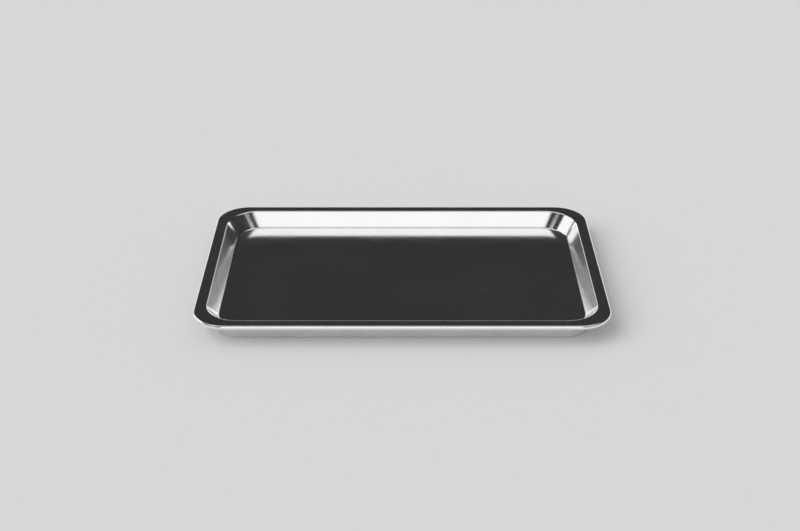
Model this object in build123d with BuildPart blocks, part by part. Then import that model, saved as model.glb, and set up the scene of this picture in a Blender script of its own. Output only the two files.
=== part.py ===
"""A flat dental set-up tray of two steel pressings: a shallow pan, hemmed round the flange of a deeper base.

Millimetres, +Z up. The origin is the centre of the face that the tray rests on, and X runs along its length.
"""

import math
import os

from build123d import *

# Overall size
length = 284.0
width = 183.0
height = 17.0
outer_corner = 23.5

# Both pressings are drawn from sheet of the same gauge.
sheet = 1.0

# The pan: its flat rim, and the sloping well inside it
rim_width = 8.2
well_depth = 11.0
wall_run = 7.2
well_corner = 23.0
floor_corner = 21.0
rim_bend = 1.2
floor_bend = 1.5

# The hem: the pan's edge turns down and back, and closes on the flange of the base.
hem_return = 4.0
hem_top_bend = 1.4
hem_foot_bend = 1.2
hem_clearance = 0.1

# The base: it leaves the rim beside the pan's wall and goes down to the face that the tray rests on.
skin_clearance = 0.2
foot_inset = 13.9
foot_corner = 18.0
foot_bend = 1.6
shoulder_bend = 1.5

# Levels of the rim's three layers, from the top down
rim_top = height
rim_underside = rim_top - sheet
flange_underside = rim_underside - sheet
hem_underside = flange_underside - sheet
well_floor = rim_top - well_depth

# How the pan's wall leans, and how much wider than the gauge it is when cut level
pan_lean = math.atan2(wall_run, well_depth)
pan_cut = sheet / math.cos(pan_lean)
pan_corner_rate = (floor_corner - well_corner) / well_depth

# The base's inner face starts clear of the pan's wall, and its outer face ends at the foot's inset.
flange_inset = rim_width + (rim_top - rim_underside) * math.tan(pan_lean) - pan_cut - skin_clearance
flange_corner = well_corner + sheet * pan_corner_rate + pan_cut + skin_clearance
foot_run = foot_inset - flange_inset
base_lean = math.atan2(foot_run, rim_underside) + math.asin(sheet / math.hypot(foot_run, rim_underside))
base_cut = sheet / math.cos(base_lean)
base_corner_rate = (foot_corner - base_cut - flange_corner) / rim_underside


def outline(inset, corner, level):
    """A rounded rectangle at a height, set in by the same amount on all four sides of the tray."""
    with BuildSketch(Plane.XY.offset(level)) as plan:
        RectangleRounded(length - 2 * inset, width - 2 * inset, corner)
    return plan.sketch


def pan_wall(level, outwards=0.0):
    """The pan's wall cut at a height: its inner face, or a face outside that."""
    depth = rim_top - level
    inset = rim_width + depth * math.tan(pan_lean) - outwards
    return outline(inset, well_corner + depth * pan_corner_rate + outwards, level)


def base_wall(level, outwards=0.0):
    """The base's wall cut at a height: its inner face, or a face outside that."""
    depth = rim_underside - level
    inset = flange_inset + depth * math.tan(base_lean) - outwards
    return outline(inset, flange_corner + depth * base_corner_rate + outwards, level)


def inset_of(point):
    """How far inside the tray's outline a point is, in plan."""
    past_x = abs(point.X) - (length / 2 - outer_corner)
    past_y = abs(point.Y) - (width / 2 - outer_corner)
    if past_x > 0 and past_y > 0:
        return outer_corner - math.hypot(past_x, past_y)
    return outer_corner - max(past_x, past_y)


def edges_at(part, level, furthest_in=0.0, furthest_out=math.inf):
    """The level edges of a part at one height whose middles lie in a band of insets."""
    chosen = ShapeList()
    for edge in part.edges():
        box = edge.bounding_box()
        in_band = furthest_in <= inset_of(edge.position_at(0.5)) <= furthest_out
        if in_band and abs(box.min.Z - level) < 1e-4 and box.size.Z < 1e-4:
            chosen.append(edge)
    return chosen


os.makedirs("parts", exist_ok=True)

with BuildPart() as tray_pan:
    # The rim's edge as a solid band, opened from inside to take the base's flange
    extrude(outline(0, outer_corner, hem_underside), amount=rim_top - hem_underside)
    extrude(
        outline(sheet, outer_corner - sheet, flange_underside),
        amount=rim_underside - flange_underside,
        mode=Mode.SUBTRACT,
    )
    extrude(
        outline(hem_return, outer_corner - hem_return, hem_underside),
        amount=flange_underside - hem_underside,
        mode=Mode.SUBTRACT,
    )
    fillet(edges_at(tray_pan, rim_top), hem_top_bend)
    fillet(edges_at(tray_pan, hem_underside, furthest_out=sheet), hem_foot_bend)
    # The well, as a solid wall and floor hollowed from above
    loft([pan_wall(rim_top, pan_cut), pan_wall(well_floor - sheet, pan_cut)], ruled=True)
    fillet(edges_at(tray_pan, well_floor - sheet), floor_bend + sheet)
    loft([pan_wall(rim_top), pan_wall(well_floor)], ruled=True, mode=Mode.SUBTRACT)
    fillet(edges_at(tray_pan, well_floor), floor_bend)
    fillet(edges_at(tray_pan, rim_top, furthest_in=rim_width / 2), rim_bend)

with BuildPart() as base_shell:
    # The flange that the hem holds, and the wall and floor below it
    edge_inset = hem_top_bend + hem_clearance
    extrude(
        outline(edge_inset, outer_corner - edge_inset, flange_underside),
        amount=rim_underside - flange_underside,
    )
    loft([base_wall(rim_underside, base_cut), base_wall(0, base_cut)], ruled=True)
    fillet(edges_at(base_shell, 0), foot_bend)
    loft([base_wall(rim_underside), base_wall(sheet)], ruled=True, mode=Mode.SUBTRACT)
    fillet(edges_at(base_shell, sheet), foot_bend - sheet)
    fillet(edges_at(base_shell, rim_underside, furthest_in=hem_return), shoulder_bend)
    fillet(edges_at(base_shell, flange_underside, furthest_in=hem_return), shoulder_bend - sheet)

tray_pan.part.label = "tray_pan"
base_shell.part.label = "base_shell"

export_step(tray_pan.part, "parts/tray_pan.step")
export_step(base_shell.part, "parts/base_shell.step")
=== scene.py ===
"""Studio scene of a flat dental tray: a polished pan hemmed round the flange of a satin base, on a bench."""

import math

import bmesh
import bpy
from mathutils import Matrix, Vector


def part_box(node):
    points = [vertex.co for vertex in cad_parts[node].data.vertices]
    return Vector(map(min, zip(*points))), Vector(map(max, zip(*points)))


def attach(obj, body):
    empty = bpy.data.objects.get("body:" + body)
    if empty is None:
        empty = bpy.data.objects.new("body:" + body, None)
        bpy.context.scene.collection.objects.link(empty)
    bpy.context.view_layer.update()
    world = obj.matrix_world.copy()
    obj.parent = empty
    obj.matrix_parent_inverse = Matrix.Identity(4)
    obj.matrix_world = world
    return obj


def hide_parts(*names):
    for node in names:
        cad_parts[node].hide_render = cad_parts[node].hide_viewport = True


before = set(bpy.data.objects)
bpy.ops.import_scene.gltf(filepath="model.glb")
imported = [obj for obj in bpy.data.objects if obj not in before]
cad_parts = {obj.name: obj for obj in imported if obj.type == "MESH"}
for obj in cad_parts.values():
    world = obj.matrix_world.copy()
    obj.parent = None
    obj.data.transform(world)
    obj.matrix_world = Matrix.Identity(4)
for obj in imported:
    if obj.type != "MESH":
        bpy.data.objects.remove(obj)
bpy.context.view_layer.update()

MM = 0.001

# The pressings take their outer sizes and levels from the frame.
pan_low, pan_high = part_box("tray_pan")
base_low, base_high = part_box("base_shell")
LENGTH = pan_high.x - pan_low.x
WIDTH = pan_high.y - pan_low.y
RIM_TOP = pan_high.z
FOOT = base_low.z
RIM_UNDERSIDE = base_high.z
SHEET = RIM_TOP - RIM_UNDERSIDE
FLANGE_UNDERSIDE = RIM_UNDERSIDE - SHEET
HEM_UNDERSIDE = FLANGE_UNDERSIDE - SHEET
FLANGE_EDGE = base_low.x - pan_low.x

# The pan's rim, well and bends
OUTER_CORNER = 23.5 * MM
RIM_WIDTH = 8.2 * MM
WELL_DEPTH = 11.0 * MM
WALL_RUN = 7.2 * MM
WELL_CORNER = 23.0 * MM
FLOOR_CORNER = 21.0 * MM
RIM_BEND = 1.2 * MM
FLOOR_BEND = 1.5 * MM
HEM_RETURN = 4.0 * MM
HEM_TOP_BEND = 1.4 * MM
HEM_FOOT_BEND = 1.2 * MM

# The base's wall and bends
SKIN_CLEARANCE = 0.2 * MM
SHOULDER_BEND = 0.5 * MM
FOOT_INSET = 13.9 * MM
FOOT_CORNER = 18.0 * MM
FOOT_BEND = 1.6 * MM

# How finely the mesh follows its curves, and what tells a wall or a flat from the strips of a bend
CORNER_STEPS = 40
BEND_STEPS = 8
GUARD = 0.06 * MM
BROAD_FACE = 2.0 * MM
BEND_STRIP = 0.4 * MM


class Outline:
    """A rounded rectangle at a level, set in by the same amount on all four sides of the tray."""

    def __init__(self, inset, corner, level):
        self.half = Vector((LENGTH / 2 - inset, WIDTH / 2 - inset))
        self.corner = corner
        self.level = level

    def centre(self, point):
        """The centre of the corner arc in the point's quarter of the tray."""
        across = math.copysign(self.half.x - self.corner, point.x)
        along = math.copysign(self.half.y - self.corner, point.y)
        return Vector((across, along, self.level))

    def carry(self, point, to):
        """Takes a point on this outline to the matching point on another one."""
        outwards = (point - self.centre(point)) / self.corner
        return to.centre(point) + outwards * to.corner


def start_outline(bm, outline):
    """The open edge loop that a pressing grows from: a rectangle with its four corners rounded."""
    size = Matrix.Diagonal((2 * outline.half.x, 2 * outline.half.y, 1, 1))
    place = Matrix.Translation((0, 0, outline.level)) @ size
    made = bmesh.ops.create_grid(bm, x_segments=1, y_segments=1, size=0.5, matrix=place)
    bmesh.ops.bevel(
        bm, geom=made["verts"], offset=outline.corner, segments=CORNER_STEPS, profile=0.5,
        affect="VERTICES", material=-1,
    )
    bmesh.ops.delete(bm, geom=bm.faces[:], context="FACES_ONLY")
    return bm.edges[:]


def press(outlines):
    """Draws a sheet through the outlines and closes it with a flat floor. Gives each step's edges too."""
    bm = bmesh.new()
    steps = [start_outline(bm, outlines[0])]
    for here, there in zip(outlines, outlines[1:]):
        grown = bmesh.ops.extrude_edge_only(bm, edges=steps[-1])["geom"]
        for vert in (g for g in grown if isinstance(g, bmesh.types.BMVert)):
            vert.co = here.carry(vert.co, there)
        steps.append([g for g in grown if isinstance(g, bmesh.types.BMEdge)])
    bmesh.ops.holes_fill(bm, edges=steps[-1], sides=0)
    return bm, steps


def round_step(bm, edges, radius):
    """Rounds one bend of a pressing to its radius."""
    turn = max(edge.calc_face_angle(0.0) for edge in edges)
    bmesh.ops.bevel(
        bm, geom=edges, offset=radius * math.tan(turn / 2), offset_type="OFFSET", segments=BEND_STEPS,
        profile=0.5, affect="EDGES", material=-1, clamp_overlap=False,
    )


def is_broad(face):
    """True for a face of a flat or a wall, and not for the narrow strips that make up a bend."""
    lengths = [edge.calc_length() for edge in face.edges]
    return max(lengths) > BROAD_FACE and min(lengths) > BEND_STRIP


def guard_flats(bm):
    """Runs a narrow band round each flat and wall, so that the smooth shading of a bend stops at its edge."""
    broad = [face for face in bm.faces if is_broad(face)]
    bmesh.ops.inset_region(bm, faces=broad, thickness=GUARD, use_even_offset=True)


def mark_bends(bm):
    """Writes 1 on the points inside the bends and edges, for wear to follow, and 0 on the flats and walls."""
    bend = bm.verts.layers.float.new("bend")
    for vert in bm.verts:
        vert[bend] = 0.0 if any(is_broad(face) for face in vert.link_faces) else 1.0


def finish_pressing(bm, name, outwards):
    """Gives the drawn surface its gauge and makes it an object. Its floor faces up where outwards is 1."""
    guard_flats(bm)
    bmesh.ops.remove_doubles(bm, verts=bm.verts[:], dist=0.001 * MM)
    bmesh.ops.recalc_face_normals(bm, faces=bm.faces[:])
    floor = max(bm.faces, key=lambda face: face.calc_area())
    if floor.normal.z * outwards < 0:
        bmesh.ops.reverse_faces(bm, faces=bm.faces[:])
    bmesh.ops.solidify(bm, geom=bm.faces[:], thickness=SHEET)
    mark_bends(bm)
    for face in bm.faces:
        face.smooth = True
    mesh = bpy.data.meshes.new(name)
    bm.to_mesh(mesh)
    bm.free()
    piece = bpy.data.objects.new(name, mesh)
    bpy.context.scene.collection.objects.link(piece)
    return piece


def make_pan():
    """The pan: hem return, hem, rim, well wall and floor."""
    bm, steps = press([
        Outline(HEM_RETURN, OUTER_CORNER - HEM_RETURN, HEM_UNDERSIDE),
        Outline(0, OUTER_CORNER, HEM_UNDERSIDE),
        Outline(0, OUTER_CORNER, RIM_TOP),
        Outline(RIM_WIDTH, WELL_CORNER, RIM_TOP),
        Outline(RIM_WIDTH + WALL_RUN, FLOOR_CORNER, RIM_TOP - WELL_DEPTH),
    ])
    for edges, radius in zip(steps[1:], (HEM_FOOT_BEND, HEM_TOP_BEND, RIM_BEND, FLOOR_BEND)):
        round_step(bm, edges, radius)
    return finish_pressing(bm, "polished_pan", 1)


def shoulder():
    """Where the base's wall leaves its flange: clear of the pan's wall, and on the line down to the foot."""
    pan_lean = math.atan2(WALL_RUN, WELL_DEPTH)
    clear = SHEET / math.cos(pan_lean) + SKIN_CLEARANCE
    inner_inset = RIM_WIDTH + SHEET * math.tan(pan_lean) - clear
    inner_corner = WELL_CORNER - SHEET * (WELL_CORNER - FLOOR_CORNER) / WELL_DEPTH + clear
    run = FOOT_INSET - inner_inset
    drop = RIM_UNDERSIDE - FOOT
    lean = math.atan2(run, drop) + math.asin(SHEET / math.hypot(run, drop))
    level_cut = SHEET / math.cos(lean)
    narrowing = (inner_corner + level_cut - FOOT_CORNER) * SHEET / drop
    inset = inner_inset + SHEET * math.tan(lean) - level_cut
    return Outline(inset, inner_corner + level_cut - narrowing, FLANGE_UNDERSIDE)


def make_base():
    """The base: flange, wall and floor, seen from outside."""
    bm, steps = press([
        Outline(FLANGE_EDGE, OUTER_CORNER - FLANGE_EDGE, FLANGE_UNDERSIDE),
        shoulder(),
        Outline(FOOT_INSET, FOOT_CORNER, FOOT),
    ])
    for edges, radius in zip(steps[1:], (SHOULDER_BEND, FOOT_BEND)):
        round_step(bm, edges, radius)
    return finish_pressing(bm, "satin_base", -1)


def add(tree, kind, inputs=None, **settings):
    """Adds a shader node. An input that is given a socket is linked to it, and any other value is set."""
    made = tree.nodes.new("ShaderNode" + kind)
    for name, value in settings.items():
        setattr(made, name, value)
    for name, value in (inputs or {}).items():
        if isinstance(value, bpy.types.NodeSocket):
            tree.links.new(value, made.inputs[name])
        else:
            made.inputs[name].default_value = value
    return made


def maths(tree, operation, *values):
    """One step of arithmetic on sockets and numbers."""
    return add(tree, "Math", dict(enumerate(values)), operation=operation).outputs["Value"]


def ramp(tree, value, start, end, low=0.0, high=1.0):
    """Takes a value that runs from start to end smoothly to one that runs from low to high."""
    limits = {"Value": value, "From Min": start, "From Max": end, "To Min": low, "To Max": high}
    return add(tree, "MapRange", limits, interpolation_type="SMOOTHSTEP").outputs["Result"]


def noise(tree, place, scale, detail=0.0, distortion=0.0):
    """Cloudy noise from 0 to 1, with so many features a metre."""
    settings = {"Vector": place, "Scale": scale, "Detail": detail, "Distortion": distortion}
    return add(tree, "TexNoise", settings).outputs["Fac"]


def effect(name, inputs, outputs):
    """An empty node group with named sockets, and its two ends."""
    group = bpy.data.node_groups.new(name, "ShaderNodeTree")
    for socket, kind in inputs.items():
        group.interface.new_socket(socket, in_out="INPUT", socket_type="NodeSocket" + kind)
    for socket, kind in outputs.items():
        group.interface.new_socket(socket, in_out="OUTPUT", socket_type="NodeSocket" + kind)
    return group, group.nodes.new("NodeGroupInput").outputs, group.nodes.new("NodeGroupOutput").inputs


def make_scratches():
    """Fine scratches from wiping and from instruments: thin lines on three headings, in patches."""
    headings = (8, 71, -39)
    line_width = 0.012
    patches_per_metre = 22
    inputs = {"Vector": "Vector", "Lines per Metre": "Float", "Length": "Float", "Amount": "Float"}
    group, given, result = effect("fine_scratches", inputs, {"Mask": "Float"})
    along = maths(group, "DIVIDE", given["Lines per Metre"], given["Length"])
    spread = {"X": along, "Y": given["Lines per Metre"], "Z": given["Lines per Metre"]}
    stretch = add(group, "CombineXYZ", spread).outputs["Vector"]
    mask = 0.0
    for heading in headings:
        turn = {"Vector": given["Vector"], "Angle": math.radians(heading)}
        turned = add(group, "VectorRotate", turn, rotation_type="Z_AXIS").outputs["Vector"]
        drawn = add(group, "VectorMath", {0: turned, 1: stretch}, operation="MULTIPLY").outputs["Vector"]
        from_middle = maths(group, "SUBTRACT", noise(group, drawn, scale=1.0), 0.5)
        off_line = maths(group, "ABSOLUTE", from_middle)
        line = ramp(group, off_line, start=0.0, end=line_width, low=1.0, high=0.0)
        mask = maths(group, "MAXIMUM", mask, line)
    clouds = noise(group, given["Vector"], patches_per_metre, detail=1.0)
    patches = ramp(group, clouds, start=0.4, end=0.65)
    patchy = maths(group, "MULTIPLY", mask, patches)
    group.links.new(maths(group, "MULTIPLY", patchy, given["Amount"]), result["Mask"])
    return group


def make_smudges():
    """Faint cloudy marks that wiping and handling leave."""
    inputs = {"Vector": "Vector", "Marks per Metre": "Float", "Amount": "Float"}
    group, given, result = effect("wiped_smudges", inputs, {"Mask": "Float"})
    clouds = noise(group, given["Vector"], given["Marks per Metre"], detail=3.0, distortion=0.8)
    marks = ramp(group, clouds, start=0.42, end=0.68)
    group.links.new(maths(group, "MULTIPLY", marks, given["Amount"]), result["Mask"])
    return group


def make_edge_wear():
    """Rubbing along the bends and edges, broken up so that it comes and goes."""
    inputs = {"Vector": "Vector", "Bend": "Float", "Rubs per Metre": "Float", "Amount": "Float"}
    group, given, result = effect("edge_wear", inputs, {"Mask": "Float"})
    clouds = noise(group, given["Vector"], given["Rubs per Metre"], detail=4.0)
    rubs = ramp(group, clouds, start=0.38, end=0.62)
    on_bend = maths(group, "MULTIPLY", rubs, given["Bend"])
    group.links.new(maths(group, "MULTIPLY", on_bend, given["Amount"]), result["Mask"])
    return group


class Steel:
    """A steel finish, with the marks that both of the tray's finishes share."""

    def __init__(self, name):
        self.material = bpy.data.materials.new(name)
        self.material.use_nodes = True
        self.tree = self.material.node_tree
        self.shader = self.tree.nodes["Principled BSDF"]
        self.shader.inputs["Metallic"].default_value = 1.0
        self.place = add(self.tree, "TexCoord").outputs["Object"]
        self.bend = add(self.tree, "Attribute", attribute_name="bend").outputs["Fac"]

    def mask(self, group, values):
        """A shared effect, placed on this finish with its own values."""
        return add(self.tree, "Group", {"Vector": self.place, **values}, node_tree=group).outputs["Mask"]

    def tone(self, clean, dull, amount):
        """The metal's grey, from clean to dull. Mix's colour sockets go by number, as its names repeat."""
        greys = {0: amount, 6: (clean, clean, clean, 1), 7: (dull, dull, dull, 1)}
        mixed = add(self.tree, "Mix", greys, data_type="RGBA").outputs[2]
        self.tree.links.new(mixed, self.shader.inputs["Base Color"])

    def roughen(self, polish, *shares):
        """Roughness: that of the finish, and a share for each mask."""
        rough = polish
        for mask, share in shares:
            rough = maths(self.tree, "MULTIPLY_ADD", mask, share, rough)
        self.tree.links.new(rough, self.shader.inputs["Roughness"])

    def emboss(self, depth, *shares):
        """Fine relief: a share for each height, in a depth of so many metres."""
        height = 0.0
        for mask, share in shares:
            height = maths(self.tree, "MULTIPLY_ADD", mask, share, height)
        bump = add(self.tree, "Bump", {"Height": height, "Distance": depth, "Strength": 1.0})
        self.tree.links.new(bump.outputs["Normal"], self.shader.inputs["Normal"])


scratches = make_scratches()
smudges = make_smudges()
edge_wear = make_edge_wear()


def polished_steel():
    """Bright polished stainless steel: a very fine even grain, hairline scratches and faint smudges."""
    steel = Steel("polished_steel")
    lines = steel.mask(scratches, {"Lines per Metre": 420.0, "Length": 45.0, "Amount": 0.6})
    clouds = steel.mask(smudges, {"Marks per Metre": 28.0, "Amount": 1.0})
    worn = steel.mask(edge_wear, {"Bend": steel.bend, "Rubs per Metre": 240.0, "Amount": 1.0})
    grain = noise(steel.tree, steel.place, scale=1300.0, detail=2.0)
    steel.tone(clean=0.93, dull=0.915, amount=clouds)
    steel.roughen(0.13, (clouds, 0.015), (lines, 0.12), (worn, 0.05))
    steel.emboss(0.01 * MM, (grain, 0.5), (lines, -0.6))
    return steel.material


def satin_steel():
    """Satin stainless steel: level hairlines round the wall, scratches, and wear along the bends."""
    steel = Steel("satin_steel")
    lines = steel.mask(scratches, {"Lines per Metre": 300.0, "Length": 30.0, "Amount": 0.8})
    clouds = steel.mask(smudges, {"Marks per Metre": 35.0, "Amount": 1.0})
    worn = steel.mask(edge_wear, {"Bend": steel.bend, "Rubs per Metre": 180.0, "Amount": 1.0})
    lines_round, lines_up = 45.0, 3200.0
    stretch = {0: steel.place, 1: (lines_round, lines_round, lines_up)}
    drawn = add(steel.tree, "VectorMath", stretch, operation="MULTIPLY").outputs["Vector"]
    hairlines = noise(steel.tree, drawn, scale=1.0, detail=2.0)
    steel.tone(clean=0.92, dull=0.88, amount=clouds)
    steel.roughen(0.24, (hairlines, 0.1), (clouds, 0.02), (lines, 0.1), (worn, -0.06))
    steel.emboss(0.015 * MM, (hairlines, 0.4), (lines, -0.5))
    return steel.material


pan = make_pan()
pan.data.materials.append(polished_steel())
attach(pan, "root")
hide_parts("tray_pan")

base = make_base()
base.data.materials.append(satin_steel())
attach(base, "root")
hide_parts("base_shell")


def bench():
    """The pale bench top that the tray stands on, in matt laminate."""
    half_width = 8.0
    squares = 24
    darkest, palest = 0.69, 0.71
    bm = bmesh.new()
    level = Matrix.Translation((0, 0, FOOT))
    bmesh.ops.create_grid(bm, x_segments=squares, y_segments=squares, size=half_width, matrix=level)
    mesh = bpy.data.meshes.new("bench")
    bm.to_mesh(mesh)
    bm.free()
    top = bpy.data.objects.new("bench", mesh)
    bpy.context.scene.collection.objects.link(top)
    material = bpy.data.materials.new("matt_laminate")
    material.use_nodes = True
    tree = material.node_tree
    shader = tree.nodes["Principled BSDF"]
    place = add(tree, "TexCoord").outputs["Object"]
    speckle = add(tree, "ValToRGB", {"Fac": noise(tree, place, scale=900.0, detail=2.0)})
    speckle.color_ramp.elements[0].color = (darkest, darkest, darkest, 1)
    speckle.color_ramp.elements[1].color = (palest, palest, palest, 1)
    tree.links.new(speckle.outputs["Color"], shader.inputs["Base Color"])
    shader.inputs["Roughness"].default_value = 0.9
    shader.inputs["Specular IOR Level"].default_value = 0.0
    mesh.materials.append(material)
    return top


bench()


def towards(azimuth, elevation):
    """A direction from the tray. Azimuth 0 is the camera's side and turns towards +X, in degrees."""
    turn, rise = math.radians(azimuth), math.radians(elevation)
    return Vector((math.sin(turn) * math.cos(rise), -math.cos(turn) * math.cos(rise), math.sin(rise)))


def hang(name, light, direction, distance):
    """Hangs a light in a direction from the tray and aims it at the tray. The camera doesn't see it."""
    lamp = bpy.data.objects.new(name, light)
    lamp.location = direction * distance
    lamp.rotation_euler = direction.to_track_quat("Z", "Y").to_euler()
    lamp.visible_camera = False
    bpy.context.scene.collection.objects.link(lamp)
    return lamp


def card(name, azimuth, elevation, distance, width, height, brightness):
    """A bright card that only shines in the steel."""
    light = bpy.data.lights.new(name, "AREA")
    light.shape = "RECTANGLE"
    light.size = width
    light.size_y = height
    light.energy = brightness * math.pi * width * height
    hang(name, light, towards(azimuth, elevation), distance).visible_diffuse = False


def daylight(name, azimuth, elevation, strength, softness):
    """An even light from far off that only lights the bench. Its softness is its angle in degrees."""
    hung_at = 3.0
    light = bpy.data.lights.new(name, "SUN")
    light.energy = strength
    light.angle = math.radians(softness)
    hang(name, light, towards(azimuth, elevation), hung_at).visible_glossy = False


def room(seen, upper, lower, band_top, band_edge):
    """The room, pale to the camera and the bench. The steel sees it dark above a pale band at the horizon.

    The band ends at a height above the horizon, in degrees, and fades over the edge's width.
    """
    world = bpy.data.worlds.new("room")
    world.use_nodes = True
    tree = world.node_tree
    tree.nodes.clear()
    way = add(tree, "TexCoord").outputs["Generated"]
    height = add(tree, "SeparateXYZ", {"Vector": way}).outputs["Z"]
    start = math.sin(math.radians(band_top))
    end = math.sin(math.radians(band_top + band_edge))
    dark = add(tree, "Background", {"Color": ramp(tree, height, start, end, lower, upper)})
    pale = add(tree, "Background", {"Color": (seen, seen, seen, 1)})
    glossy_ray = add(tree, "LightPath").outputs["Is Glossy Ray"]
    sides = {0: glossy_ray, 1: pale.outputs["Background"], 2: dark.outputs["Background"]}
    mix = add(tree, "MixShader", sides)
    add(tree, "OutputWorld", {"Surface": mix.outputs["Shader"]})
    bpy.context.scene.world = world


room(seen=0.6, upper=0.03, lower=1.35, band_top=9, band_edge=6)
daylight("bench_key", azimuth=-62, elevation=42, strength=1.75, softness=55)

# Each card: azimuth and elevation in degrees, distance, width and height in metres, and brightness
card("front_card", 0, 31, 2.2, 1.45, 1.69, 1.0)
card("overhead_card", 180, 84.9, 2.2, 3.2, 1.34, 1.0)
card("right_slim_card", 52.7, 44.4, 2.11, 0.44, 0.41, 1.05)
card("left_slim_card", -52.7, 44.4, 2.11, 0.44, 0.41, 1.05)
card("left_card", -110, 30, 2.2, 1.61, 1.3, 1.0)


def camera():
    """A long lens looking down at the tray from the front, a little left of its middle."""
    pitch = math.radians(28.333)
    left = 0.00525 * LENGTH
    back = 3.0029 * LENGTH
    above_rim = 1.6078 * LENGTH
    lens = bpy.data.cameras.new("camera")
    lens.sensor_width = 36
    lens.lens = 60.13
    lens.clip_start = 0.01
    eye = bpy.data.objects.new("camera", lens)
    eye.location = (-left, -back, RIM_TOP + above_rim)
    eye.rotation_euler = (math.pi / 2 - pitch, 0, 0)
    bpy.context.scene.collection.objects.link(eye)
    bpy.context.scene.camera = eye
    bpy.context.scene.view_settings.view_transform = "Standard"


camera()
